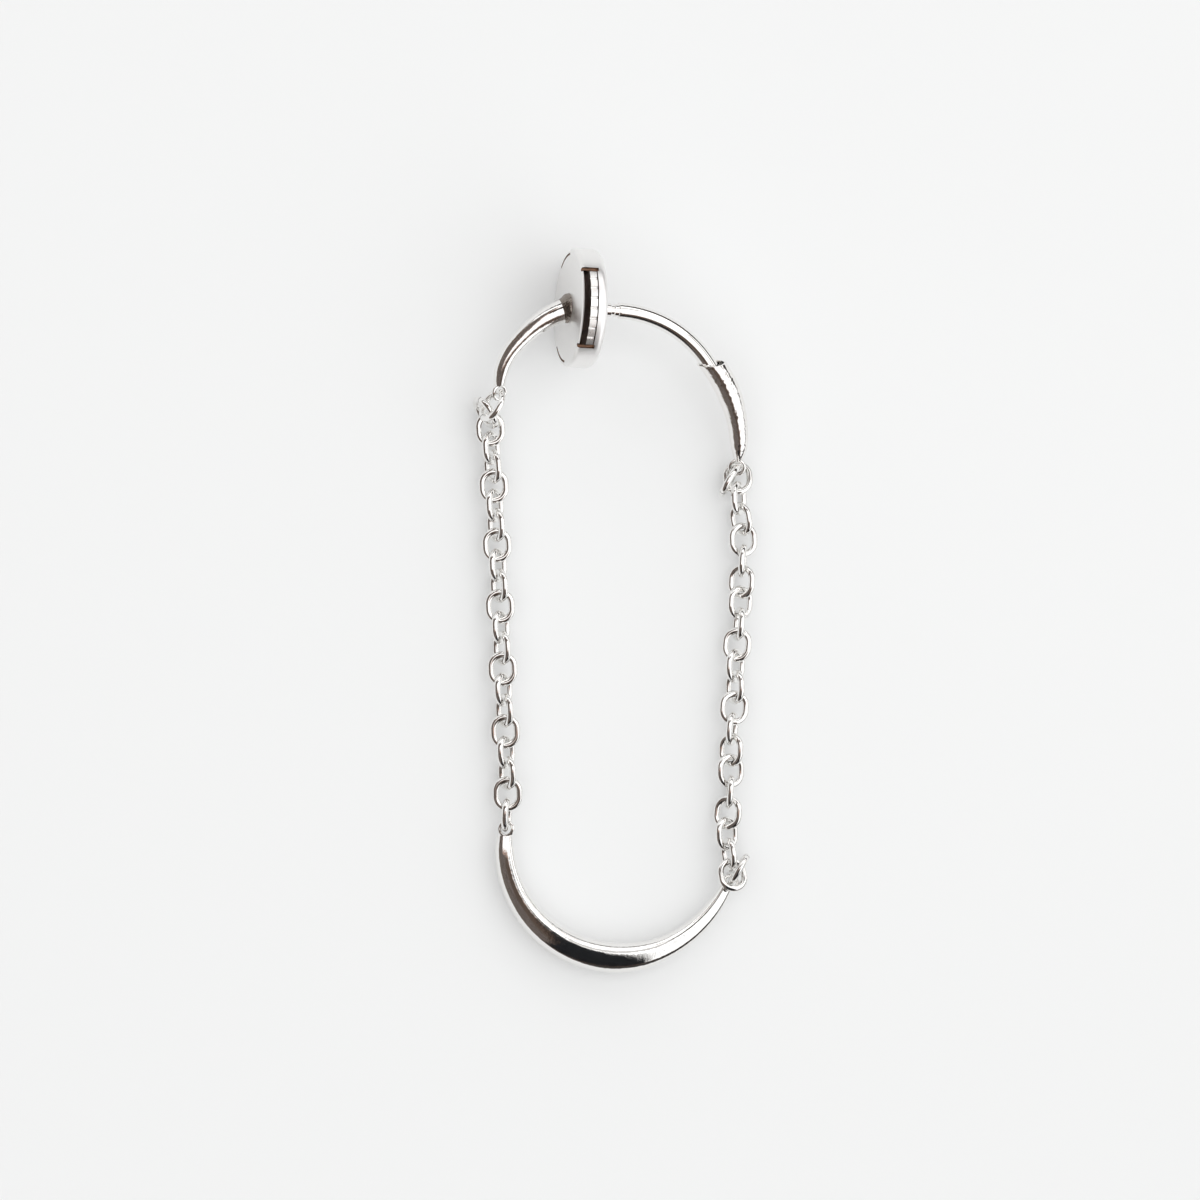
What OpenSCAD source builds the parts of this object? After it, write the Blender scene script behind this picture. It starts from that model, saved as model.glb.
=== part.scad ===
// Ear chain earring: an ear wire that hooks into a round push-button clutch,
// two cable chains and a crescent bar, lying flat. X is to the right, Y towards
// the clutch, Z up from the surface that it lies on.

/* [Ear wire] */
// Diameter of the post that goes through the ear
post_d = 0.96; // [0.8:0.02:1.04]
// Bare length of post between the clutch and the thicker wire
post_bare = 1.7; // [1.5:0.1:3]
// Distance of the locking groove from the clutch
groove_at = 1.28; // [0.6:0.02:1.3]
// Width of the locking groove
groove_w = 0.24; // [0.1:0.02:0.4]
// Depth of the locking groove
groove_depth = 0.09; // [0.04:0.01:0.15]
// Diameter of the curved wire
wire_d = 1.14; // [1.06:0.02:1.2]
// Radius that the wire is bent to
wire_bend = 8.8; // [8:0.1:10]
// Angle that the wire is bent through before it enters the sleeve
wire_turn = 52; // [46:1:58]

/* [Sleeve] */
// Outer diameter of the sleeve at its mouth
sleeve_d = 1.75; // [1.7:0.05:2]
// Length of the sleeve along its curve
sleeve_length = 7.8; // [7:0.1:9]
// Angle that the sleeve is bent through
sleeve_turn = 43; // [36:1:50]
// Wall of the sleeve round its open mouth
sleeve_wall = 0.15; // [0.1:0.01:0.2]
// Depth of the open mouth
mouth_depth = 0.6; // [0.4:0.1:0.8]
// Slant of the mouth's cut from square
mouth_slant = 34; // [0:1:40]

/* [Clutch] */
// Diameter of the clutch
clutch_d = 8.33; // [7.8:0.05:9]
// Thickness of the clutch
clutch_t = 1.9; // [1.85:0.05:2.4]
// Radius of the rounded edge on the ear's side
clutch_edge = 0.5; // [0.2:0.05:0.6]
// Bevel of the outer face's edge
clutch_bevel = 0.15; // [0.05:0.01:0.25]
// Thickness of the cover on the outer face
cover_t = 0.14; // [0.12:0.01:0.2]
// Length of the slot across the clutch
slot_length = 5.18; // [4.6:0.02:5.6]
// Tilt of the hoop from the surface
hoop_tilt = 15.8; // [15:0.1:17]

/* [Push buttons] */
// Thickness of the upper button's plate
upper_plate = 0.56; // [0.4:0.02:0.6]
// Thickness of the lower button's plate
lower_plate = 0.32; // [0.24:0.02:0.36]
// Depth of a button's end below the rim
button_recess = 0.09; // [0.05:0.01:0.2]
// How far a button's plate reaches past the post
button_reach = 1.6; // [1.3:0.1:2]
// How far a button is pressed in
button_travel = 0.4; // [0.2:0.05:0.5]
// Diameter of the grooves in a button's end
rib_groove = 0.2; // [0.1:0.02:0.26]
// Angle from one groove to the next
rib_angle = 10.2; // [8:0.1:11]

/* [Clutch arm] */
// Length of the arm along its curve
arm_length = 7.65; // [7:0.05:8.5]
// Diameter of the arm at the clutch
arm_d = 1.72; // [1.4:0.02:2]
// Angle between the arm's root and the clutch's axis
arm_lift = 18; // [14:1:22]
// Diameter of a soldered eye
eye_d = 1.28; // [1.24:0.02:1.34]
// Wire of a soldered eye
eye_wire = 0.28; // [0.24:0.01:0.3]

/* [Crescent bar] */
// Length of the bar along its curve
bar_length = 23; // [21:0.1:25]
// Diameter of the bar at its thickest
bar_d = 2.12; // [1.9:0.02:2.4]

/* [Chains] */
// Wire of a chain link
link_wire = 0.47; // [0.4:0.01:0.48]
// Outer length of a chain link
link_length = 2.48; // [2.4:0.01:2.6]
// Outer width of a chain link
link_width = 2.12; // [2.06:0.01:2.2]
// Gap between a link's wire and the next one's
link_gap = 0.05; // [0.04:0.01:0.08]
// Turn of each left link against the one before
left_twist = 60; // [56:1:70]
// Turn of each right link against the one before
right_twist = 66.3; // [60:0.1:72]
// Share by which the links at the top of the left chain are pushed up
left_bunch = 0.12; // [0:0.01:0.14]
// Outer diameter of a jump ring
ring_d = 2.6; // [2.5:0.02:2.7]
// Wire of a jump ring
ring_wire = 0.46; // [0.4:0.01:0.48]

/* [Fit] */
// Clearance between the post and its holes
post_gap = 0.05; // [0.03:0.01:0.08]
// Clearance between sliding plates
slide_gap = 0.04; // [0.02:0.01:0.06]

/* [Hidden] */
$fn = 64;
// Turn of the clutch about the vertical
clutch_turn = -3.2;
// Where the centre of the clutch's outer face stands
clutch_at = [-4.28, 21.18];
// Where the bar's left tip lies, and its heading there
bar_start = [-8.07, -15.78, 265.7, 0];
// Turn that makes a link face the eye of someone looking down a little from the left
link_face = 14.5;
// Height of the chains' centre line
chain_z = link_width / 2;
// Sections as [share of the length, share of the full diameter]
sleeve_sections = [[-0.2, 1], [0.2, 1], [0.4, 0.98], [0.55, 0.88], [0.69, 0.79],
                   [0.83, 0.74], [0.9, 0.64], [0.96, 0.46], [1, 0.3]];
arm_sections = [[0, 1], [0.08, 0.96], [0.4, 0.77], [0.88, 0.61], [0.99, 0.48], [1, 0.42]];
bar_sections = [[0, 0.48], [0.04, 0.62], [0.09, 0.67], [0.18, 0.73], [0.27, 0.83], [0.35, 0.9],
                [0.44, 0.96], [0.52, 1], [0.6, 0.97], [0.66, 0.9], [0.7, 0.82], [0.74, 0.75],
                [0.79, 0.69], [0.84, 0.63], [0.88, 0.58], [0.92, 0.53], [0.96, 0.46], [1, 0.38]];
// Bends as [share of the length, turn]
arm_bends = [[0.35, 27], [0.26, 11], [0.39, 40]];
bar_bends = [[0.287, 48.5], [0.483, 76], [0.23, 32]];
// Chosen points of the left chain's route, between its two ends
left_points = [[-8.85, 8.65], [-8.62, 4.5], [-8.4, 0.2], [-8.22, -4.2], [-7.83, -13.05]];
// Chosen points of the right chain's route, between its two ends
right_points = [[8.75, 7.9], [9.09, 6.3], [9.27, 4.6], [9.1, 2.5], [9, 0.4], [8.62, -3.8], [8.6, -6.3],
                [8.3, -9.4], [8.28, -12.2], [7.97, -15.3], [8.02, -16.32]];

// Widths across the clutch, one after the other from its outer face
slot_w = upper_plate + lower_plate + 3 * slide_gap;
lower_at = cover_t + slide_gap;
upper_at = lower_at + lower_plate + slide_gap;
slot_end = cover_t + slot_w;
post_hole = post_d + 2 * post_gap;
post_length = clutch_t + post_bare;
post_tip = lower_at;
// Extra length of a cut past the solid that it cuts
over = 1;

// Directions of the hoop's plane: along the clutch's axis, and up across it
hoop_x = [cos(clutch_turn), sin(clutch_turn), 0];
hoop_y = [-sin(clutch_turn) * cos(hoop_tilt), cos(clutch_turn) * cos(hoop_tilt), sin(hoop_tilt)];
function hoop_point(p) = [clutch_at.x, clutch_at.y, clutch_d / 2] + p.x * hoop_x + p.y * hoop_y;

// A path is a list of [x, y, heading, length so far]
function bend_point(p, length, turn, share) =
    let (r = length / (turn * PI / 180), h = p[2] + turn * share)
    [p.x + r * (sin(h) - sin(p[2])), p.y - r * (cos(h) - cos(p[2])), h, p[3] + length * share];
function bend_path(p, length, bends, steps, i = 0) = i == len(bends) ? [p] :
    let (part = length * bends[i][0], turn = bends[i][1])
    concat([for (k = [0:steps - 1]) bend_point(p, part, turn, k / steps)],
           bend_path(bend_point(p, part, turn, 1), length, bends, steps, i + 1));
function path_end(path) = path[len(path) - 1];
// The same place, looking back along the path
function turned_back(p) = [p.x, p.y, p[2] + 180, 0];

wire_end = bend_point([post_length, 0, 0, 0], wire_bend * wire_turn * PI / 180, -wire_turn, 1);
// The sleeve's axis runs outside the wire's and turns away from it a little
wire_bite = 0.045;
sleeve_offset = sleeve_d / 2 - sleeve_wall - wire_d / 2 + wire_bite;
sleeve_swing = 6;
sleeve_start = [wire_end.x - sleeve_offset * sin(wire_end[2]), wire_end.y + sleeve_offset * cos(wire_end[2]),
                wire_end[2] + sleeve_swing, 0];

sleeve_path = [for (k = [-3:24]) bend_point(sleeve_start, sleeve_length, -sleeve_turn, k / 24)];
arm_drop = 0.15;
arm_root = [0, -arm_drop, 180 + arm_lift, 0];
// The arm is made longer at its root, and the clutch's face cuts it off
arm_lead = arm_d / 2;
arm_path = concat([[arm_root.x - arm_lead * cos(arm_root[2]), arm_root.y - arm_lead * sin(arm_root[2]),
                    arm_root[2], -arm_lead]],
                  bend_path(arm_root, arm_length, arm_bends, 8));
bar_path = bend_path(bar_start, bar_length, bar_bends, 20);

// Each eye as [lean to the side, roll], seen looking out along the metal that carries it
sleeve_eye = [-3, 13];
arm_eye = [0, -24];
left_bar_eye = [-8, -38];
right_bar_eye = [-16, -6];
eye_reach = (eye_d - eye_wire) / 2;
function eye_point(p, turn) = [p.x + eye_reach * cos(p[2] + turn[0]), p.y + eye_reach * sin(p[2] + turn[0])];
arm_eye_at = hoop_point(eye_point(path_end(arm_path), arm_eye));
sleeve_eye_at = hoop_point(eye_point(path_end(sleeve_path), sleeve_eye));
function bar_point(p) = [p.x, p.y, bar_d / 2];
left_bar_eye_at = bar_point(eye_point(turned_back(bar_path[0]), left_bar_eye));
right_bar_eye_at = bar_point(eye_point(path_end(bar_path), right_bar_eye));

// Each jump ring as [centre, [turn, lift] of its axis]
upper_ring = [arm_eye_at + [-0.51, -0.9, -0.03], [-29, -15]];
second_ring = [upper_ring[0] + [-0.22, -0.52, -1.01], [32, -8]];
sleeve_ring = [sleeve_eye_at + [-0.53, -0.94, 0.03], [-32, 16.5]];
bar_ring = [right_bar_eye_at + [0.5, 0.91, 0.26], [-31.5, 9.5]];
function raised(points) = [for (p = points) [p.x, p.y, chain_z]];
left_route = concat([second_ring[0] + [0.36, -0.5, -0.27]], raised(left_points), [left_bar_eye_at + [0, 0.27, 0]]);
right_route = concat([sleeve_ring[0] + [0.69, 0.9, -0.65], [8.88, 8.6, 1.02]], raised(right_points),
                     [[8.18, -17.84, 1.42], bar_ring[0] + [-0.43, -1.08, 0.51]]);
// Extra turn of the links at the chains' ends, where they hang in rings and eyes
left_last = 20;
right_first = 3;
right_last = 14.5;

// A chain has as many links as its route takes when they hang taut
link_pitch = link_length - 2 * link_wire - link_gap;
function route_length(route, k = 1) = k == len(route) ? 0 :
    norm(route[k] - route[k - 1]) + route_length(route, k + 1);
function route_point(route, s, k = 1) =
    let (step = norm(route[k] - route[k - 1]))
    s <= step || k == len(route) - 1 ? route[k - 1] + (route[k] - route[k - 1]) * s / step :
    route_point(route, s - step, k + 1);
function link_count(route, bunch) = ceil(route_length(route) / link_pitch / (1 - bunch / 4));
// Length taken by the first k of n links, against a taut link
function links_taken(k, n, bunch) = k == 0 ? 0 :
    links_taken(k - 1, n, bunch) + 1 - bunch * max(0, 1 - 2 * k / n);
function joint_point(route, k, n, bunch) =
    route_point(route, route_length(route) * links_taken(k, n, bunch) / links_taken(n, n, bunch));
left_count = link_count(left_route, left_bunch);
right_count = link_count(right_route, 0);

// A round bar swept along a path, its diameter following the sections
module tube(path, sections, size, whole, sides = 20) {
    last = len(path) - 1;
    corners = [for (p = path) let (r = size / 2 * lookup(p[3] / whole, sections)) for (a = [0:sides - 1])
               let (t = 360 * a / sides)
               [p.x - r * cos(t) * sin(p[2]), p.y + r * cos(t) * cos(p[2]), r * sin(t)]];
    walls = [for (k = [0:last - 1]) for (a = [0:sides - 1]) let (b = (a + 1) % sides)
             [k * sides + a, (k + 1) * sides + a, (k + 1) * sides + b, k * sides + b]];
    ends = [[for (a = [0:sides - 1]) a], [for (a = [0:sides - 1]) last * sides + sides - 1 - a]];
    polyhedron(corners, concat(walls, ends), convexity = 4);
}

// A closed ring of round wire, flat on the XY plane
module wire_ring(outer, wire) {
    rotate_extrude() translate([(outer - wire) / 2, 0]) circle(d = wire);
}

// An eye soldered to the end of a bar
module eye(p, turn) {
    translate([p.x, p.y, 0]) rotate([0, 0, p[2] + turn[0]]) rotate([turn[1], 0, 0])
        translate([eye_reach, 0, 0]) wire_ring(eye_d, eye_wire);
}

module in_hoop() {
    translate(hoop_point([0, 0])) rotate([0, 0, clutch_turn]) rotate([hoop_tilt, 0, 0]) children();
}

module in_clutch() {
    translate(hoop_point([0, 0])) rotate([0, 0, clutch_turn]) children();
}

// A cylinder along the clutch's axis
module along_axis(d, from, to) {
    translate([from, 0, 0]) rotate([0, 90, 0]) cylinder(d = d, h = to - from);
}

module sleeve() {
    difference() {
        tube(sleeve_path, sleeve_sections, sleeve_d, sleeve_length);
        translate(point_xy(sleeve_start)) rotate([0, 0, sleeve_start[2]]) {
            rotate([0, 0, 90 - mouth_slant]) translate([-sleeve_d, 0, -sleeve_d])
                cube(sleeve_d * 2);
            translate([-sleeve_d, 0, 0]) rotate([0, 90, 0])
                cylinder(d = sleeve_d - 2 * sleeve_wall, h = sleeve_d + mouth_depth);
        }
    }
}
function point_xy(p) = [p.x, p.y, 0];

module curved_wire() {
    seat_turn = (mouth_depth + sleeve_wall) / wire_bend * 180 / PI;
    turn = wire_turn + seat_turn;
    translate([post_length, -wire_bend, 0]) rotate([0, 0, 90 - turn])
        rotate_extrude(angle = turn) translate([wire_bend, 0]) circle(d = wire_d);
}

module post() {
    difference() {
        along_axis(post_d, post_tip, post_length + post_d / 4);
        translate([clutch_t + groove_at, 0, 0]) rotate([0, 90, 0]) rotate_extrude()
            translate([post_d / 2 - groove_depth, -groove_w / 2]) square([over, groove_w]);
    }
}

module ear_wire() {
    color("silver") in_hoop() {
        post();
        curved_wire();
        sleeve();
        eye(path_end(sleeve_path), sleeve_eye);
    }
}

module clutch_body() {
    r = clutch_d / 2;
    corner = [for (a = [0:15:90]) [clutch_t - clutch_edge * (1 - cos(a)), r - clutch_edge * (1 - sin(a))]];
    difference() {
        rotate([0, 90, 0]) rotate([0, 0, 90]) rotate_extrude()
            polygon([for (p = concat([[0, 0], [0, r - clutch_bevel], [clutch_bevel, r]],
                                     [for (k = [len(corner) - 1:-1:0]) corner[k]], [[clutch_t, 0]]))
                     [p.y, p.x]]);
        translate([cover_t, -slot_length / 2, -clutch_d]) cube([slot_w, slot_length, 2 * clutch_d]);
        along_axis(post_hole, slot_end - over, clutch_t + over);
    }
}

module clutch_arm() {
    difference() {
        tube(arm_path, arm_sections, arm_d, arm_length);
        translate([cover_t / 2, -clutch_d / 2, -clutch_d / 2]) cube(clutch_d);
    }
}

module clutch() {
    color("silver") {
        in_clutch() clutch_body();
        in_hoop() {
            clutch_arm();
            eye(path_end(arm_path), arm_eye);
        }
    }
}

// A button's plate, its ribbed end upwards
module button_plate(thickness) {
    end_r = clutch_d / 2 - button_recess;
    width = slot_length - 2 * slide_gap;
    difference() {
        intersection() {
            along_axis(2 * end_r, 0, thickness);
            translate([-over, -width / 2, -button_reach]) cube([thickness + 2 * over, width, 2 * end_r]);
        }
        for (k = [-3:3]) rotate([-k * rib_angle, 0, 0]) translate([0, 0, end_r])
            along_axis(rib_groove, -over, thickness + over);
        for (z = [0, button_travel]) translate([0, 0, z]) along_axis(post_hole, -over, thickness + over);
        translate([-over, -post_hole / 2, 0]) cube([thickness + 2 * over, post_hole, button_travel]);
    }
}

module upper_button() {
    color("lightgray") in_clutch() translate([upper_at, 0, 0]) button_plate(upper_plate);
}

module lower_button() {
    color("lightgray") in_clutch() translate([lower_at + lower_plate, 0, 0]) rotate([0, 180, 0])
        button_plate(lower_plate);
}

module crescent_bar() {
    color("silver") translate([0, 0, bar_d / 2]) {
        tube(bar_path, bar_sections, bar_d, bar_length, 24);
        eye(turned_back(bar_path[0]), left_bar_eye);
        eye(path_end(bar_path), right_bar_eye);
    }
}

module jump_ring(seat) {
    color("gainsboro") translate(seat[0]) rotate([0, 90 - seat[1][1], seat[1][0]]) wire_ring(ring_d, ring_wire);
}
module upper_ring() jump_ring(upper_ring);
module second_ring() jump_ring(second_ring);
module sleeve_ring() jump_ring(sleeve_ring);
module bar_ring() jump_ring(bar_ring);

// An oval link, long way along X
module link() {
    bend = (link_width - link_wire) / 2;
    straight = link_length - link_width;
    for (side = [-1, 1]) {
        translate([-straight / 2, side * bend, 0]) rotate([0, 90, 0]) cylinder(d = link_wire, h = straight);
        translate([side * straight / 2, 0, 0]) rotate([0, 0, side > 0 ? -90 : 90])
            rotate_extrude(angle = 180) translate([bend, 0]) circle(d = link_wire);
    }
}

// Link i of n, between its two joints on the route
module placed_link(route, i, n, bunch, roll) {
    from = joint_point(route, i - 1, n, bunch);
    way = joint_point(route, i, n, bunch) - from;
    color("silver") translate(from + way / 2) rotate([0, -asin(way.z / norm(way)), atan2(way.y, way.x)])
        rotate([roll, 0, 0]) link();
}

module left_link(i) {
    extra = i == left_count ? left_last : 0;
    placed_link(left_route, i, left_count, left_bunch, link_face - left_twist * (i - 1) - extra);
}

module right_link(i) {
    extra = i == 1 ? right_first : i == right_count ? right_last : 0;
    placed_link(right_route, i, right_count, 0, link_face - right_twist * (i - 1) - extra);
}

ear_wire();
clutch();
upper_button();
lower_button();
crescent_bar();
upper_ring();
second_ring();
sleeve_ring();
bar_ring();
for (i = [1:left_count]) left_link(i);
for (i = [1:right_count]) right_link(i);
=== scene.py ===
import math

import bmesh
import bpy
import numpy as np
from mathutils import Matrix, Vector


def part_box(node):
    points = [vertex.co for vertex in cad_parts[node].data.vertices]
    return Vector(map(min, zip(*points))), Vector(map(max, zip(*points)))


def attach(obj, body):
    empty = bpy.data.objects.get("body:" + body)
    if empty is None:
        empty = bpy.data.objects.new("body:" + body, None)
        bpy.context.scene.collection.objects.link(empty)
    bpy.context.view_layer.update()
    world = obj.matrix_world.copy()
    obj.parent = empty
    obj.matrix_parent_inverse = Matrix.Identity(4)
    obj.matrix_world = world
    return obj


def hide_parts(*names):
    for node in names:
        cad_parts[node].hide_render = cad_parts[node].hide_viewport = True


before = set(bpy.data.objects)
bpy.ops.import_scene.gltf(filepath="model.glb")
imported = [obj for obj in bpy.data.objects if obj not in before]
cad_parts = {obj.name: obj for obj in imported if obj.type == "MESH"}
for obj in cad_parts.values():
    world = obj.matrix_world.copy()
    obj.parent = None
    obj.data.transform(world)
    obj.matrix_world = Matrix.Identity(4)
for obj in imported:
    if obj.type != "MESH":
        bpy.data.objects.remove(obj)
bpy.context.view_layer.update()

mm = 0.001
rad = math.radians


def deselectAll():
    if bpy.context.mode != "OBJECT":
        bpy.ops.object.mode_set(mode="OBJECT")
    bpy.ops.object.select_all(action="DESELECT")


def selectOnly(piece):
    deselectAll()
    piece.select_set(True)
    bpy.context.view_layer.objects.active = piece


def startEdit(piece):
    selectOnly(piece)
    bpy.ops.object.mode_set(mode="EDIT")


def newShape(add, **settings):
    # adds one primitive with nothing else selected
    deselectAll()
    add(**settings)
    return bpy.context.object


def selectWhere(piece, kind, test):
    # selects the vertices, edges or faces of a mesh in edit mode whose test is true
    bpy.ops.mesh.select_mode(type=kind)
    bpy.ops.mesh.select_all(action="DESELECT")
    mesh = bmesh.from_edit_mesh(piece.data)
    parts = {"VERT": mesh.verts, "EDGE": mesh.edges, "FACE": mesh.faces}[kind]
    for part in parts:
        if test(part):
            part.select_set(True)
    mesh.select_flush_mode()
    bmesh.update_edit_mesh(piece.data)


def applyPlace(piece, matrix=None):
    # moves the piece's place into its mesh
    selectOnly(piece)
    if matrix is not None:
        piece.matrix_world = matrix @ piece.matrix_world
        bpy.context.view_layer.update()
    bpy.ops.object.transform_apply(location=True, rotation=True, scale=True)


def applyModifier(piece, kind, settings):
    selectOnly(piece)
    modifier = piece.modifiers.new(kind.lower(), kind)
    for key, value in settings.items():
        setattr(modifier, key, value)
    bpy.ops.object.modifier_apply(modifier=modifier.name)


def cleanNormals(piece):
    startEdit(piece)
    bpy.ops.mesh.select_all(action="SELECT")
    bpy.ops.mesh.remove_doubles(threshold=1e-7)
    bpy.ops.mesh.normals_make_consistent(inside=False)
    bpy.ops.object.mode_set(mode="OBJECT")


def smooth(piece, angle=35):
    selectOnly(piece)
    bpy.ops.object.shade_smooth_by_angle(angle=rad(angle))


def cut(piece, cutter):
    # takes the cutter's shape out of the piece
    applyModifier(piece, "BOOLEAN", {"operation": "DIFFERENCE", "object": cutter})
    bpy.data.objects.remove(cutter, do_unlink=True)


def roundEdges(piece, width):
    applyModifier(piece, "BEVEL", {"width": width, "segments": 2, "limit_method": "ANGLE",
                                   "angle_limit": rad(40), "harden_normals": True})


def paintShadeInside(piece, test):
    # gives the faces whose test is true the dull finish that no wheel reaches, painted brown-black as the shade that
    # falls in a recess
    piece.data.materials.append(insideShadeSilver)
    for face in piece.data.polygons:
        if test(face.center, face.normal):
            face.material_index = 1


def finishPiece(piece, name, material, slotName, body, *nodes):
    piece.name = name
    piece.data.name = name
    piece.data.materials.clear()
    piece.data.materials.append(material)
    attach(piece, body)
    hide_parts(*nodes)


def linear(hexColour):
    # sRGB hex to linear
    parts = [int(hexColour[i:i + 2], 16) / 255 for i in (0, 2, 4)]
    return tuple(c / 12.92 if c <= 0.04045 else ((c + 0.055) / 1.055) ** 2.4 for c in parts) + (1,)


def addNode(tree, kind, settings=None, links=None):
    # adds a node, sets its properties and sockets, and links its inputs from other nodes' outputs
    node = tree.nodes.new(kind)
    for key, value in (settings or {}).items():
        if isinstance(key, int) or key in node.inputs:
            node.inputs[key].default_value = value
        else:
            setattr(node, key, value)
    for key, (source, output) in (links or {}).items():
        tree.links.new(source.outputs[output], node.inputs[key])
    return node


def newMaterial(name):
    material = bpy.data.materials.new(name)
    material.use_nodes = True
    material.node_tree.nodes.clear()
    return material, material.node_tree


def between(start, end, scale=1):
    # settings for a soft step from 0 at start to 1 at end
    low, high, flip = (start, end, 0) if start < end else (end, start, 1)
    return {"interpolation_type": "SMOOTHSTEP", "From Min": low * scale, "From Max": high * scale,
            "To Min": flip, "To Max": 1 - flip}


def polishedSilver(name, colour, roughness, markSize, markDepth, waveSize, waveDepth):
    # sizes and depths in millimetres: fine rubbing marks over a slow unevenness
    material, tree = newMaterial(name)
    place = addNode(tree, "ShaderNodeTexCoord")
    wave = addNode(tree, "ShaderNodeTexNoise",
                   {"Scale": 1 / (waveSize * mm), "Detail": 2.0, "Roughness": 0.5}, {"Vector": (place, "Object")})
    marks = addNode(tree, "ShaderNodeTexNoise",
                    {"Scale": 1 / (markSize * mm), "Detail": 3.0, "Roughness": 0.6}, {"Vector": (place, "Object")})
    uneven = addNode(tree, "ShaderNodeBump", {"Distance": waveDepth * mm}, {"Height": (wave, "Fac")})
    bump = addNode(tree, "ShaderNodeBump", {"Distance": markDepth * mm},
                   {"Height": (marks, "Fac"), "Normal": (uneven, "Normal")})
    gloss = addNode(tree, "ShaderNodeMapRange", {"From Min": 0.3, "From Max": 0.7, "To Min": roughness * 0.85,
                                                 "To Max": roughness * 1.15}, {"Value": (marks, "Fac")})
    shader = addNode(tree, "ShaderNodeBsdfPrincipled", {"Base Color": linear(colour), "Metallic": 1.0},
                     {"Roughness": (gloss, "Result"), "Normal": (bump, "Normal")})
    addNode(tree, "ShaderNodeOutputMaterial", links={"Surface": (shader, "BSDF")})
    return material


# drawn sterling silver wire, tumbled bright: clean mirror bands, with hardly a mark
drawnSilver = polishedSilver("drawnSilverWire", "f3f2f0", 0.04, 0.1, 0.0002, 0.7, 0.002)
# cast sterling silver, buffed by hand: a mirror whose bands break up into fine grain at their edges
castSilver = polishedSilver("castBuffedSilver", "f3f2f0", 0.05, 0.13, 0.0025, 0.35, 0.008)
# silver sheet rolled into a tapered tube and soldered: bright, with the small dents of the forming
rolledSilver = polishedSilver("rolledSilverSheet", "f2f0ee", 0.05, 0.12, 0.0025, 0.42, 0.045)
# pressed silver housing, brushed down to a satin: soft and even, with long shallow swells
pressedSilver = polishedSilver("pressedSilverHousing", "f2f1f0", 0.33, 0.15, 0.0004, 1.6, 0.004)
# sawn silver ribs, only tumbled: softer gloss than the parts that were buffed
sawnSilver = polishedSilver("sawnSilverRibs", "f2f0ee", 0.3, 0.08, 0.0008, 0.5, 0.002)
# silver solder, left as it ran where the arm joins the housing: lumpy, and painted a darker grey as the arm's shadow
# and reflection on the housing face
solderShadeSilver = polishedSilver("silverSolderPaintedShade", "8b837c", 0.2, 0.1, 0.002, 0.18, 0.045)
# sterling silver that no wheel reaches, inside the slot: dull, and painted brown-black and mottled as the shade that
# falls in the slot, the notches and the grooves
slotShade = {"light": "8c6c58", "dark": "4c3a30", "spot": 0.4, "grain": 0.002, "roughness": 0.45}
insideShadeSilver, tree = newMaterial("insidePaintedShade")
place = addNode(tree, "ShaderNodeTexCoord")
shadeSpots = addNode(tree, "ShaderNodeTexNoise", {"Scale": 1 / (slotShade["spot"] * mm), "Detail": 3.0},
                {"Vector": (place, "Object")})
# sockets 6 and 7 of a colour mix are its two colours, and its output 2 is the mixed one
tone = addNode(tree, "ShaderNodeMix", {"data_type": "RGBA", 6: linear(slotShade["light"]), 7: linear(slotShade["dark"])},
               {0: (shadeSpots, "Fac")})
grain = addNode(tree, "ShaderNodeBump", {"Distance": slotShade["grain"] * mm}, {"Height": (shadeSpots, "Fac")})
shader = addNode(tree, "ShaderNodeBsdfPrincipled", {"Metallic": 1.0, "Roughness": slotShade["roughness"]},
                 {"Base Color": (tone, 2), "Normal": (grain, "Normal")})
addNode(tree, "ShaderNodeOutputMaterial", links={"Surface": (shader, "BSDF")})
print("materials done")

# the clutch stands on its rim, and the hoop's own flat frame leans out from it
hoop = {"clutchAt": (-4.28, 21.18), "clutchTurn": -3.2, "tilt": 15.8}
clutch = {"diameter": 8.33, "thickness": 1.9, "sides": 160, "earEdge": [0.5, 10], "coverEdge": [0.3, 6],
          "softEdge": 0.025, "slotFrom": 0.12, "slotTo": 1.14, "slotLength": 5.18,
          "notchOut": 0.08, "notchRadius": 0.17, "notchTo": 1.25, "notchSides": 24,
          "grooveRadius": 3.78, "grooveWire": 0.075, "grooveSides": 12, "grooveSteps": 24,
          "grooves": ((-42, -4), (184, 224))}
clutchRadius = clutch["diameter"] / 2
clutchPlace = (Matrix.Translation(Vector((*hoop["clutchAt"], clutchRadius)) * mm)
               @ Matrix.Rotation(rad(hoop["clutchTurn"]), 4, "Z"))
hoopPlace = clutchPlace @ Matrix.Rotation(rad(hoop["tilt"]), 4, "X")


def bendPoint(start, length, turn, share):
    x, y, heading, done = start
    radius = length / rad(turn)
    after = heading + turn * share
    return (x + radius * (math.sin(rad(after)) - math.sin(rad(heading))),
            y - radius * (math.cos(rad(after)) - math.cos(rad(heading))), after, done + length * share)


def bendPath(start, length, bends, steps):
    # bends are [share of the length, turn]; each path point is x, y, heading, length so far
    path, point = [], start
    for share, turn in bends:
        count = max(4, round(steps * share))
        path += [bendPoint(point, length * share, turn, k / count) for k in range(count)]
        point = bendPoint(point, length * share, turn, 1)
    return path + [point]


def sectionAt(sections, share, spread):
    # reads a table of [share, size], with its corners rounded off over the spread
    at, size = zip(*sections)
    near = [np.interp(min(max(share + spread * k / 4, at[0]), at[-1]), at, size) for k in range(-4, 5)]
    return float(np.mean(near))


def taperedRod(path, rod):
    # stations of x, y, heading and radius along a path, from a piece's settings
    return [(x, y, heading, rod["diameter"] / 2 * sectionAt(rod["sections"], done / rod["length"], rod["spread"]))
            for x, y, heading, done in path]


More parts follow.
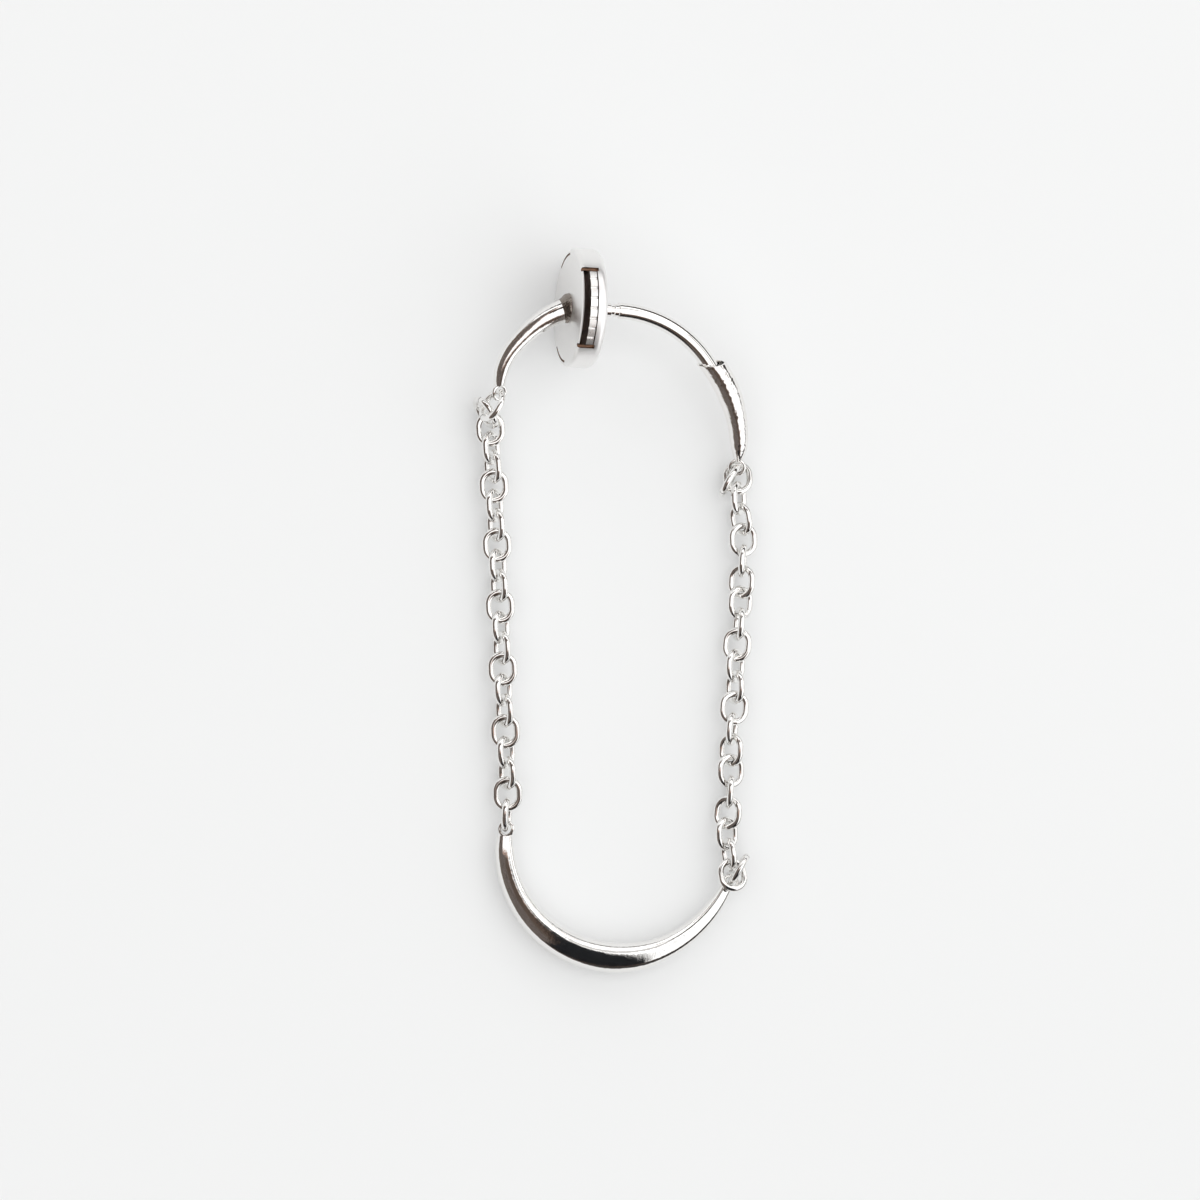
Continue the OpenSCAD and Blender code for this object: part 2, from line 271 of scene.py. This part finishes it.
def sweepRod(stations, sides, squareness=2):
    # extrudes a section along stations of x, y, heading, radius, all in millimetres;
    # squareness 2 is a round section, and more than 2 flattens its four sides a little
    x, y, heading, radius = stations[0]
    rod = newShape(bpy.ops.mesh.primitive_circle_add, vertices=sides, radius=radius * mm, fill_type="NGON",
                   location=(x * mm, y * mm, 0), rotation=(0, rad(90), rad(heading)))
    applyPlace(rod)
    startEdit(rod)
    bpy.ops.mesh.select_all(action="SELECT")
    centre = Vector((x * mm, y * mm, 0))
    for corner in bmesh.from_edit_mesh(rod.data).verts:
        out = corner.co - centre
        up, aside = abs(out.z) / out.length, math.hypot(out.x, out.y) / out.length
        corner.co = centre + out / (up ** squareness + aside ** squareness) ** (1 / squareness)
    bmesh.update_edit_mesh(rod.data)
    for nextX, nextY, nextHeading, nextRadius in stations[1:]:
        bpy.ops.mesh.extrude_region_move(
            TRANSFORM_OT_translate={"value": ((nextX - x) * mm, (nextY - y) * mm, 0)})
        centre = (nextX * mm, nextY * mm, 0)
        if abs(nextHeading - heading) > 1e-6:
            bpy.ops.transform.rotate(value=-rad(nextHeading - heading), orient_axis="Z", center_override=centre)
        if abs(nextRadius - radius) > 1e-6:
            bpy.ops.transform.resize(value=(nextRadius / radius,) * 3, center_override=centre)
        x, y, heading, radius = nextX, nextY, nextHeading, nextRadius
    bpy.ops.object.mode_set(mode="OBJECT")
    cleanNormals(rod)
    return rod


def roundedTip(stations, share=0.12, steps=3):
    # breaks the sharp edge of a rod's last flat end, by a share of its radius
    x, y, heading, radius = stations[-1]
    tip = []
    for k in range(steps + 1):
        turn = rad(90 * k / steps)
        behind = radius * share * (1 - math.sin(turn))
        tip.append((x - behind * math.cos(rad(heading)), y - behind * math.sin(rad(heading)), heading,
                    radius - radius * share * (1 - math.cos(turn))))
    return stations[:-1] + tip


def addRing(sizes, matrix, gapAt=None):
    # a round wire ring; gapAt is where its two sawn ends meet, in degrees round it
    middle = (sizes["outer"] - sizes["wire"]) / 2
    ring = newShape(bpy.ops.mesh.primitive_torus_add, major_radius=middle * mm, minor_radius=sizes["wire"] / 2 * mm,
                    major_segments=sizes["rings"], minor_segments=sizes["sides"])
    if gapAt is not None:
        saw = newShape(bpy.ops.mesh.primitive_cube_add, size=1)
        saw.scale = (sizes["wire"] * 2 * mm, sizes["gap"] * mm, sizes["wire"] * 2 * mm)
        applyPlace(saw)
        applyPlace(saw, Matrix.Rotation(rad(gapAt), 4, "Z") @ Matrix.Translation((middle * mm, 0, 0)))
        cut(ring, saw)
    applyPlace(ring, matrix)
    smooth(ring)
    return ring


eye = {"outer": 1.28, "wire": 0.28, "rings": 48, "sides": 14}


def addEye(name, place, point, turns, node):
    # a small ring soldered to the end of a rod; turns are how far it leans and rolls
    x, y, heading, _ = point
    lean, roll = turns
    reach = (eye["outer"] - eye["wire"]) / 2
    atEnd = (Matrix.Translation((x * mm, y * mm, 0)) @ Matrix.Rotation(rad(heading + lean), 4, "Z")
             @ Matrix.Rotation(rad(roll), 4, "X") @ Matrix.Translation((reach * mm, 0, 0)))
    finishPiece(addRing(eye, place @ atEnd), name, drawnSilver, node, "earring", node)


crescent = {"length": 23, "diameter": 2.12, "start": (-8.07, -15.78, 265.7, 0), "steps": 110, "sides": 48,
            "squareness": 2.35, "spread": 0.02,
            "bends": [[0.287, 48.5], [0.483, 76], [0.23, 32]],
            "sections": [[0, 0.48], [0.04, 0.62], [0.09, 0.67], [0.18, 0.73], [0.27, 0.83], [0.35, 0.9],
                         [0.44, 0.96], [0.52, 1], [0.6, 0.97], [0.66, 0.9], [0.7, 0.82], [0.74, 0.75],
                         [0.79, 0.69], [0.84, 0.63], [0.88, 0.58], [0.92, 0.53], [0.96, 0.46], [1, 0.38]],
            "leftEye": (-8, -38), "rightEye": (-16, -6)}
crescentPath = bendPath(crescent["start"], crescent["length"], crescent["bends"], crescent["steps"])
crescentPlace = Matrix.Translation((0, 0, crescent["diameter"] / 2 * mm))
bar = sweepRod(roundedTip(taperedRod(crescentPath, crescent)), crescent["sides"], crescent["squareness"])
applyPlace(bar, crescentPlace)
smooth(bar)
finishPiece(bar, "crescentBar", castSilver, "crescent_bar", "earring", "crescent_bar")
startX, startY, startHeading, _ = crescentPath[0]
addEye("crescentEyeLeft", crescentPlace, (startX, startY, startHeading + 180, 0), crescent["leftEye"], "crescent_bar")
addEye("crescentEyeRight", crescentPlace, crescentPath[-1], crescent["rightEye"], "crescent_bar")
print("crescent bar done")

# the post goes into the clutch, and the thicker curved wire ends inside the sleeve's mouth
post = {"diameter": 0.96, "from": 0.18, "bare": 1.7, "into": 0.2, "grooveAt": 1.28, "grooveWidth": 0.24,
        "grooveDepth": 0.09, "grooveEdge": 0.03, "grooveSlope": 0.02, "sides": 32}
wire = {"diameter": 1.14, "bend": 8.8, "turn": 52, "steps": 60, "sides": 32,
        "shoulder": [[0, 0.05], [0.015, 0.02], [0.05, 0]]}
# pocket rows are [scale, how far on into the mouth]
sleeve = {"diameter": 1.75, "length": 7.8, "turn": 43, "wall": 0.15, "mouthDepth": 0.6, "mouthSlant": 34,
          "mouthBack": 0.2, "bite": 0.045, "swing": 6, "sides": 40, "steps": 60, "stepsBefore": 8,
          "spread": 0.035, "tipShare": 0.2, "eye": (-3, 13), "pocketTurn": -3,
          "pocket": [[0.95, -0.03], [0.9, 0.02], [0.96, 0.1], [0.97, 0.6], [0.9, 0.7]],
          "sections": [[-0.2, 1], [0.2, 1], [0.4, 0.98], [0.55, 0.88], [0.69, 0.79],
                       [0.83, 0.74], [0.9, 0.64], [0.96, 0.46], [1, 0.3]]}

postLength = clutch["thickness"] + post["bare"]
grooveX = clutch["thickness"] + post["grooveAt"]
postR = post["diameter"] / 2
half = post["grooveWidth"] / 2
groove = [(half + post["grooveEdge"], postR), (half, postR - post["grooveSlope"]),
          (half - post["grooveSlope"], postR - post["grooveDepth"])]
profile = ([(post["from"], postR)] + [(grooveX - aside, r) for aside, r in groove]
           + [(grooveX + aside, r) for aside, r in reversed(groove)] + [(postLength + post["into"], postR)])
postRod = sweepRod([(x, 0, 0, r) for x, r in profile], post["sides"])
applyPlace(postRod, hoopPlace)
smooth(postRod, 30)
finishPiece(postRod, "earPost", drawnSilver, "ear_wire", "earring", "ear_wire")

wireR = wire["diameter"] / 2
wireStart = (postLength, 0, 0, 0)
fullTurn = wire["turn"] + math.degrees((sleeve["mouthDepth"] + sleeve["wall"]) / wire["bend"])
wirePath = bendPath(wireStart, wire["bend"] * rad(fullTurn), [[1, -fullTurn]], wire["steps"])
shoulder = [(postLength + along, 0, 0, wireR - thinner) for along, thinner in wire["shoulder"]]
wireRod = sweepRod(shoulder + [(x, y, heading, wireR) for x, y, heading, _ in wirePath[1:]], wire["sides"])
applyPlace(wireRod, hoopPlace)
smooth(wireRod, 30)
finishPiece(wireRod, "earWireCurve", drawnSilver, "ear_wire", "earring", "ear_wire")

wireX, wireY, wireHeading, _ = bendPoint(wireStart, wire["bend"] * rad(wire["turn"]), -wire["turn"], 1)
aside = sleeve["diameter"] / 2 - sleeve["wall"] - wireR + sleeve["bite"]
sleeveX = wireX - aside * math.sin(rad(wireHeading))
sleeveY = wireY + aside * math.cos(rad(wireHeading))
sleeveHeading = wireHeading + sleeve["swing"]
sleevePath = [bendPoint((sleeveX, sleeveY, sleeveHeading, 0), sleeve["length"], -sleeve["turn"], k / sleeve["steps"])
              for k in range(-sleeve["stepsBefore"], sleeve["steps"] + 1)]
tube = sweepRod(roundedTip(taperedRod(sleevePath, sleeve), sleeve["tipShare"]), sleeve["sides"])
slant = rad(sleeveHeading + 90 - sleeve["mouthSlant"])
mouthNormal = Vector((-math.sin(slant), math.cos(slant), 0))
mouthAt = ((sleeveX + sleeve["mouthBack"] * math.cos(rad(sleeveHeading))) * mm,
           (sleeveY + sleeve["mouthBack"] * math.sin(rad(sleeveHeading))) * mm, 0)
startEdit(tube)
bpy.ops.mesh.select_all(action="SELECT")
bpy.ops.mesh.bisect(plane_co=mouthAt, plane_no=mouthNormal[:], use_fill=True, clear_outer=True, threshold=1e-6)
selectWhere(tube, "FACE", lambda f: len(f.verts) > sleeve["sides"] / 2 and f.normal.dot(mouthNormal) > 0.9)
mouth = next(f for f in bmesh.from_edit_mesh(tube.data).faces if f.select).calc_center_median()
pocketHeading = rad(sleeveHeading + sleeve["pocketTurn"])
for scale, depth in sleeve["pocket"]:
    inward = Vector((math.cos(pocketHeading), math.sin(pocketHeading), 0)) * depth * mm
    mouth = mouth + inward
    bpy.ops.mesh.extrude_region_move(TRANSFORM_OT_translate={"value": inward[:]})
    bpy.ops.transform.resize(value=(scale,) * 3, center_override=mouth[:])
bpy.ops.object.mode_set(mode="OBJECT")
applyPlace(tube, hoopPlace)
smooth(tube, 30)
finishPiece(tube, "earWireSleeve", rolledSilver, "ear_wire", "earring", "ear_wire")
addEye("sleeveEye", hoopPlace, sleevePath[-1], sleeve["eye"], "ear_wire")
print("ear wire done")

# solder rows are [along the arm, radius as a share of the arm's]
arm = {"length": 7.65, "diameter": 1.72, "lift": 18, "drop": 0.15, "lead": 0.55, "steps": 70, "sides": 36,
       "spread": 0.025, "bends": [[0.35, 27], [0.26, 11], [0.39, 40]],
       "sections": [[0, 1], [0.08, 0.96], [0.4, 0.77], [0.88, 0.61], [0.99, 0.48], [1, 0.42]],
       "solder": [[-0.5, 1.3], [-0.03, 1.3], [0.06, 1.24], [0.16, 1.16], [0.28, 1.07], [0.44, 0.99]],
       "eye": (0, -24)}
armHeading = 180 + arm["lift"]
armX, armY = math.cos(rad(armHeading)), math.sin(rad(armHeading))
armPath = bendPath((0, -arm["drop"], armHeading, 0), arm["length"], arm["bends"], arm["steps"])
stations = taperedRod(armPath, arm)
rootRadius = stations[0][3]
inHousing = (-arm["lead"] * armX, -arm["drop"] - arm["lead"] * armY, armHeading, rootRadius)
armRod = sweepRod(roundedTip([inHousing] + stations), arm["sides"])
applyPlace(armRod, hoopPlace)
smooth(armRod, 30)
finishPiece(armRod, "clutchArm", castSilver, "clutch", "earring", "clutch")
# the solder fillet round the arm's root carries the painted shadow and reflection of the arm
solder = sweepRod([(along * armX, -arm["drop"] + along * armY, armHeading, arm["diameter"] / 2 * share)
                   for along, share in arm["solder"]], arm["sides"])
applyPlace(solder, hoopPlace)
smooth(solder, 60)
finishPiece(solder, "clutchArmSolder", solderShadeSilver, "clutch", "earring", "clutch")
addEye("armEye", hoopPlace, armPath[-1], arm["eye"], "clutch")

housing = newShape(bpy.ops.mesh.primitive_cylinder_add, vertices=clutch["sides"], radius=clutchRadius * mm,
                   depth=clutch["thickness"] * mm, location=(clutch["thickness"] / 2 * mm, 0, 0),
                   rotation=(0, rad(90), 0))
applyPlace(housing)
for edgeX, (width, steps) in ((clutch["thickness"], clutch["earEdge"]), (0, clutch["coverEdge"])):
    startEdit(housing)
    selectWhere(housing, "EDGE", lambda e: all(abs(v.co.x - edgeX * mm) < 1e-6 for v in e.verts))
    bpy.ops.mesh.bevel(offset=width * mm, segments=steps, profile=0.5, affect="EDGES")
    bpy.ops.object.mode_set(mode="OBJECT")
slot = newShape(bpy.ops.mesh.primitive_cube_add, size=1,
                location=((clutch["slotFrom"] + clutch["slotTo"]) / 2 * mm, 0, 0))
slot.scale = ((clutch["slotTo"] - clutch["slotFrom"]) * mm, clutch["slotLength"] * mm, 4 * clutchRadius * mm)
applyPlace(slot)
cut(housing, slot)
for up in (-1, 1):
    for side in (-1, 1):
        y = side * (clutch["slotLength"] / 2 + clutch["notchOut"])
        z = up * (math.sqrt(clutchRadius ** 2 - y ** 2) - clutch["notchOut"])
        notch = newShape(bpy.ops.mesh.primitive_cylinder_add, vertices=clutch["notchSides"],
                         radius=clutch["notchRadius"] * mm, rotation=(0, rad(90), 0),
                         depth=clutch["notchTo"] * 2 * mm, location=(0, y * mm, z * mm))
        applyPlace(notch)
        cut(housing, notch)
faceOn = Matrix(((0, 0, 1, 0), (1, 0, 0, 0), (0, 1, 0, 0), (0, 0, 0, 1)))  # turns X, Y to Y, Z
for start, end in clutch["grooves"]:
    arc = [(clutch["grooveRadius"] * math.cos(rad(a)), clutch["grooveRadius"] * math.sin(rad(a)), a + 90,
            clutch["grooveWire"]) for a in np.linspace(start, end, clutch["grooveSteps"])]
    coverGroove = sweepRod(arc, clutch["grooveSides"])
    applyPlace(coverGroove, faceOn)
    cut(housing, coverGroove)
cleanNormals(housing)
smooth(housing, 30)
roundEdges(housing, clutch["softEdge"] * mm)
applyPlace(housing, clutchPlace)
finishPiece(housing, "clutchHousing", pressedSilver, "clutch", "earring", "clutch")
toClutch = clutchPlace.inverted()
turnToClutch = toClutch.to_3x3()
# how far past each cut a face's middle may lie and still be inside it
slack = {"grooveDepth": 0.15, "groove": 0.01, "notch": 0.02, "notchEnd": 0.01, "notchIn": 0.2, "notchRim": 0.04,
         "slot": 0.02, "slotEnd": 0.03, "slotRim": 0.03}


def insideClutch(centre, normal):
    # whether a face of the housing is a wall of a groove, a notch or the slot
    at, way = toClutch @ centre / mm, turnToClutch @ normal
    rim, aside = math.hypot(at.y, at.z), abs(at.y)
    slotEnd = clutch["slotLength"] / 2
    notchEnd = slotEnd + clutch["notchOut"] + clutch["notchRadius"]
    inGroove = (at.x < slack["grooveDepth"] and way.x > -0.97
                and abs(rim - clutch["grooveRadius"]) < clutch["grooveWire"] + slack["groove"])
    inNotch = (at.x < clutch["notchTo"] + slack["notchEnd"] and abs(way.x) < 0.5
               and slotEnd - slack["notchIn"] < aside < notchEnd + slack["notch"]
               and rim < clutchRadius - slack["notchRim"])
    inSlot = (clutch["slotFrom"] - slack["slot"] < at.x < clutch["slotTo"] + slack["slot"]
              and aside < slotEnd + slack["slotEnd"] and rim < clutchRadius - slack["slotRim"]
              and (abs(way.x) > 0.9 or abs(way.y) > 0.9))
    return inGroove or inNotch or inSlot


# the walls of the slot, the notches and the cover grooves get painted brown-black shade
paintShadeInside(housing, insideClutch)
print("clutch done")

# the plates keep the solids' sawn form; only their flat side is pared and their edges softened
buttonPlate = {"pared": 0.05, "softEdge": 0.02,
               "names": {"upper_button": "upperButtonPlate", "lower_button": "lowerButtonPlate"}}
alongPost = turnToClutch.transposed() @ Vector((1, 0, 0))
for node, plateName in buttonPlate["names"].items():
    lowest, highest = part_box(node)
    plateMiddle = (toClutch @ Vector([(a + b) / 2 for a, b in zip(lowest, highest)])).x
    plate = bpy.data.objects.new(plateName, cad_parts[node].data.copy())
    bpy.context.scene.collection.objects.link(plate)
    startEdit(plate)
    bpy.ops.mesh.select_all(action="SELECT")
    bpy.ops.mesh.remove_doubles(threshold=1e-6)
    bpy.ops.mesh.dissolve_limited(angle_limit=rad(0.5))
    selectWhere(plate, "VERT", lambda v: (toClutch @ v.co).x < plateMiddle)
    bpy.ops.transform.translate(value=(alongPost * buttonPlate["pared"] * mm)[:])
    bpy.ops.object.mode_set(mode="OBJECT")
    smooth(plate, 30)
    roundEdges(plate, buttonPlate["softEdge"] * mm)
    finishPiece(plate, plateName, sawnSilver, "buttons", node, node)
    # the plates' flat sides, inside the slot, get the same painted brown-black shade
    paintShadeInside(plate, lambda centre, normal: abs((turnToClutch @ normal).x) > 0.9)
print("buttons done")


def seatOf(node):
    # where a CAD ring or link lies: its centre, with X its long way and Z the way that it faces
    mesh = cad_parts[node].data
    mesh.calc_loop_triangles()
    points = np.array([v.co[:] for v in mesh.vertices])
    corners = points[np.array([t.vertices[:] for t in mesh.loop_triangles])]
    area = np.linalg.norm(np.cross(corners[:, 1] - corners[:, 0], corners[:, 2] - corners[:, 0]), axis=1)
    centroid = corners.mean(1)
    middle = (centroid * area[:, None]).sum(0) / area.sum()
    away = centroid - middle
    _, ways = np.linalg.eigh((away * area[:, None]).T @ away)
    longWay, facing = Vector(ways[:, 2]), Vector(ways[:, 0])
    matrix = Matrix((longWay, facing.cross(longWay), facing)).transposed().to_4x4()
    matrix.translation = Vector(middle)
    return matrix


link = {"wire": 0.47, "length": 2.48, "width": 2.12, "rings": 56, "sides": 20}
patternLink = newShape(bpy.ops.mesh.primitive_torus_add, major_radius=(link["width"] - link["wire"]) / 2 * mm,
                       minor_radius=link["wire"] / 2 * mm, major_segments=link["rings"],
                       minor_segments=link["sides"], rotation=(0, 0, rad(180 / link["rings"])))
applyPlace(patternLink)
stretch = (link["length"] - link["width"]) / 2 * mm
for side in (-1, 1):
    startEdit(patternLink)
    selectWhere(patternLink, "VERT", lambda v: v.co.x * side > 0)
    bpy.ops.transform.translate(value=(side * stretch, 0, 0))
    bpy.ops.object.mode_set(mode="OBJECT")
smooth(patternLink)
for node in sorted(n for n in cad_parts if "_link_" in n):
    copy = patternLink.copy()
    copy.data = patternLink.data.copy()
    bpy.context.scene.collection.objects.link(copy)
    applyPlace(copy, seatOf(node))
    side, _, number = node.split("_")
    finishPiece(copy, side + "Link" + number, drawnSilver, "chain", "earring", node)
bpy.data.objects.remove(patternLink, do_unlink=True)
print("links done")

# each ring's name, and where its sawn ends meet
jumpRing = {"outer": 2.6, "wire": 0.46, "gap": 0.05, "rings": 72, "sides": 20,
            "rows": {"upper_ring": ("jumpRingUpper", 200), "second_ring": ("jumpRingSecond", 20),
                     "sleeve_ring": ("jumpRingSleeve", 120), "bar_ring": ("jumpRingBar", 60)}}
for node, (name, gapAt) in jumpRing["rows"].items():
    finishPiece(addRing(jumpRing, seatOf(node), gapAt), name, drawnSilver, "jump_rings", "earring", node)
print("jump rings done")

# uncoated white paper on a light table: even and matt, with light shadows
paper = {"size": 2.0, "colour": "cecfcf", "roughness": 0.9, "lit": "f0f0f0", "glow": 0.24}
floor = newShape(bpy.ops.mesh.primitive_plane_add, size=paper["size"])
floor.name = "paperFloor"
palePaper, tree = newMaterial("palePaper")
shader = addNode(tree, "ShaderNodeBsdfPrincipled",
                 {"Base Color": linear(paper["colour"]), "Roughness": paper["roughness"],
                  "Emission Color": linear(paper["lit"]), "Emission Strength": paper["glow"]})
addNode(tree, "ShaderNodeOutputMaterial", links={"Surface": (shader, "BSDF")})
floor.data.materials.append(palePaper)

# what the polished metal sees round it: white walls and ceiling, and darker stretches of the room
studio = {"white": 1.3, "patches": [
    # azimuth, half width, zenith from, zenith to, softness, colour
    (212, 74, 58, 92, 5, "6e645b"),
    (88, 45, 31, 46, 1.5, "35281f"),
    (40, 45, 50, 56, 2, "77665a"),
    (40, 16, 64, 70, 3, "8a7060")]}
world = bpy.data.worlds.new("studio")
bpy.context.scene.world = world
world.use_nodes = True
tree = world.node_tree
tree.nodes.clear()
way = addNode(tree, "ShaderNodeTexCoord")
axes = addNode(tree, "ShaderNodeSeparateXYZ", links={0: (way, "Generated")})
flat = addNode(tree, "ShaderNodeVectorMath", {"operation": "MULTIPLY", 1: (1, 1, 0)}, {0: (way, "Generated")})
level = addNode(tree, "ShaderNodeVectorMath", {"operation": "NORMALIZE"}, {0: (flat, 0)})
seen = addNode(tree, "ShaderNodeCombineColor", {0: studio["white"], 1: studio["white"], 2: studio["white"]})
seenOut = 0
for azimuth, halfWidth, zenithFrom, zenithTo, softness, colour in studio["patches"]:
    aim = (math.cos(rad(azimuth)), math.sin(rad(azimuth)), 0)
    turned = addNode(tree, "ShaderNodeVectorMath", {"operation": "DOT_PRODUCT", 1: aim}, {0: (level, 0)})
    outer, inner = [math.cos(rad(max(halfWidth + s, 0))) for s in (softness, -softness)]
    mask = addNode(tree, "ShaderNodeMapRange", between(outer, inner), {"Value": (turned, "Value")})
    for zenith, inside in ((zenithFrom, False), (zenithTo, True)):
        lower, upper = [math.cos(rad(max(zenith + s, 0))) for s in (softness, -softness)]
        edge = addNode(tree, "ShaderNodeMapRange", between(lower, upper) if inside else between(upper, lower),
                       {"Value": (axes, "Z")})
        mask = addNode(tree, "ShaderNodeMath", {"operation": "MULTIPLY"}, {0: (mask, 0), 1: (edge, 0)})
    seen = addNode(tree, "ShaderNodeMix", {"data_type": "RGBA", 7: linear(colour)},
                   {0: (mask, 0), 6: (seen, seenOut)})
    seenOut = 2
sky = addNode(tree, "ShaderNodeBackground", links={"Color": (seen, seenOut)})
addNode(tree, "ShaderNodeOutputWorld", links={"Surface": (sky, "Background")})

keyLight = {"towards": (0.5, 0.6, 0.9), "distance": 0.32, "side": 0.25, "power": 0.13}
data = bpy.data.lights.new("keySoftbox", "AREA")
data.size = keyLight["side"]
data.energy = keyLight["power"]
light = bpy.data.objects.new("keySoftbox", data)
bpy.context.scene.collection.objects.link(light)
towards = Vector(keyLight["towards"]).normalized()
light.location = towards * keyLight["distance"]
light.rotation_euler = towards.to_track_quat("Z", "Y").to_euler()

# dark flags that only the metal sees: level sheets with soft edges, which put the dark bands on the wires;
# each edge is (share of X, share of Y, open at, closed at) in millimetres, and a part is closed inside all its edges
flags = {
    "sideFlag": {"height": 60, "parts": [[(1, 0, -30, -44), (0, 1, 118, 98)], [(0, 1, 0, -15), (1, 0.35, 10, 3)]],
                 "colours": ("80756f", "4a403c"), "spot": 4, "inner": "5a4a40", "edge": "9c5f34", "turns": (-22, -6)},
    "nearFlag": {"height": 25, "parts": [[(0, 1, -11, -16), (0.87, -0.49, 7.5, 11.5), (1, 0.45, 4, -3)]],
                 "colours": ("14171d", "0c0d10"), "spot": 3, "inner": "101318", "edge": "3a2c24", "turns": (-10, 0)},
    "rearFlag": {"height": 12, "parts": [[(0.5, 0.87, 32, 37)], [(0.6, -0.8, 34, 39)]],
                 "colours": ("332a25", "241d1a"), "spot": 3, "inner": "2b2420", "edge": "5c4436", "turns": (-10, 0)}}
flagReach = 200

for name, flag in flags.items():
    card = newShape(bpy.ops.mesh.primitive_plane_add, size=2 * flagReach * mm, location=(0, 0, flag["height"] * mm))
    card.name = name
    applyPlace(card)
    # black felt, faded unevenly, its worn edge warmer
    cloth, tree = newMaterial(name)
    place = addNode(tree, "ShaderNodeTexCoord")
    axes = addNode(tree, "ShaderNodeSeparateXYZ", links={0: (place, "Object")})
    covered = None
    for edges in flag["parts"]:
        part = None
        for shareX, shareY, start, end in edges:
            across = addNode(tree, "ShaderNodeVectorMath", {"operation": "DOT_PRODUCT", 1: (shareX, shareY, 0)},
                             {0: (place, "Object")})
            one = addNode(tree, "ShaderNodeMapRange", between(start, end, mm), {"Value": (across, "Value")})
            part = one if part is None else addNode(tree, "ShaderNodeMath", {"operation": "MULTIPLY"},
                                                    {0: (part, 0), 1: (one, 0)})
        covered = part if covered is None else addNode(tree, "ShaderNodeMath", {"operation": "MAXIMUM"},
                                                       {0: (covered, 0), 1: (part, 0)})
    mottle = addNode(tree, "ShaderNodeTexNoise", {"Scale": 1 / (flag["spot"] * mm), "Detail": 3.0},
                     {"Vector": (place, "Object")})
    spots = addNode(tree, "ShaderNodeMapRange", between(0.42, 0.58), {"Value": (mottle, "Fac")})
    faded, dark = flag["colours"]
    shade = addNode(tree, "ShaderNodeMix", {"data_type": "RGBA", 6: linear(faded), 7: linear(dark)}, {0: (spots, 0)})
    inward = addNode(tree, "ShaderNodeMapRange", between(*flag["turns"], mm), {"Value": (axes, "X")})
    tone = addNode(tree, "ShaderNodeMix", {"data_type": "RGBA", 7: linear(flag["inner"])},
                   {0: (inward, 0), 6: (shade, 2)})
    worn = addNode(tree, "ShaderNodeMapRange", between(0.75, 1), {"Value": (covered, 0)})
    edged = addNode(tree, "ShaderNodeMix", {"data_type": "RGBA", 6: linear(flag["edge"])},
                    {0: (worn, 0), 7: (tone, 2)})
    shader = addNode(tree, "ShaderNodeBsdfPrincipled", {"Roughness": 1.0}, {"Base Color": (edged, 2)})
    clear = addNode(tree, "ShaderNodeBsdfTransparent")
    mixed = addNode(tree, "ShaderNodeMixShader", links={0: (covered, 0), 1: (clear, "BSDF"), 2: (shader, "BSDF")})
    addNode(tree, "ShaderNodeOutputMaterial", links={"Surface": (mixed, "Shader")})
    card.data.materials.append(cloth)
    card.visible_camera = card.visible_diffuse = card.visible_shadow = False
print("surroundings done")

# a very long lens from straight above, tilted to the left, as in the photograph
camera = {"tilt": 14.5, "wide": 84, "lookX": -0.875, "lookY": 0.735, "lookUp": 3, "distance": 2000, "sensor": 36}
data = bpy.data.cameras.new("photoCamera")
data.sensor_width = camera["sensor"]
data.lens = camera["sensor"] * camera["distance"] / camera["wide"]
data.clip_start, data.clip_end = 0.01, 10
cam = bpy.data.objects.new("photoCamera", data)
bpy.context.scene.collection.objects.link(cam)
tilt = rad(camera["tilt"])
back = Vector((-math.sin(tilt), 0, math.cos(tilt)))
across = Vector((math.cos(tilt), 0, math.sin(tilt)))
cam.location = (across * camera["lookX"] + Vector((0, camera["lookY"], 0))
                + back * (camera["distance"] + camera["lookUp"])) * mm
cam.rotation_euler = (0, -tilt, 0)
bpy.context.scene.camera = cam
bpy.context.scene.view_settings.view_transform = "Standard"

print("scene done")
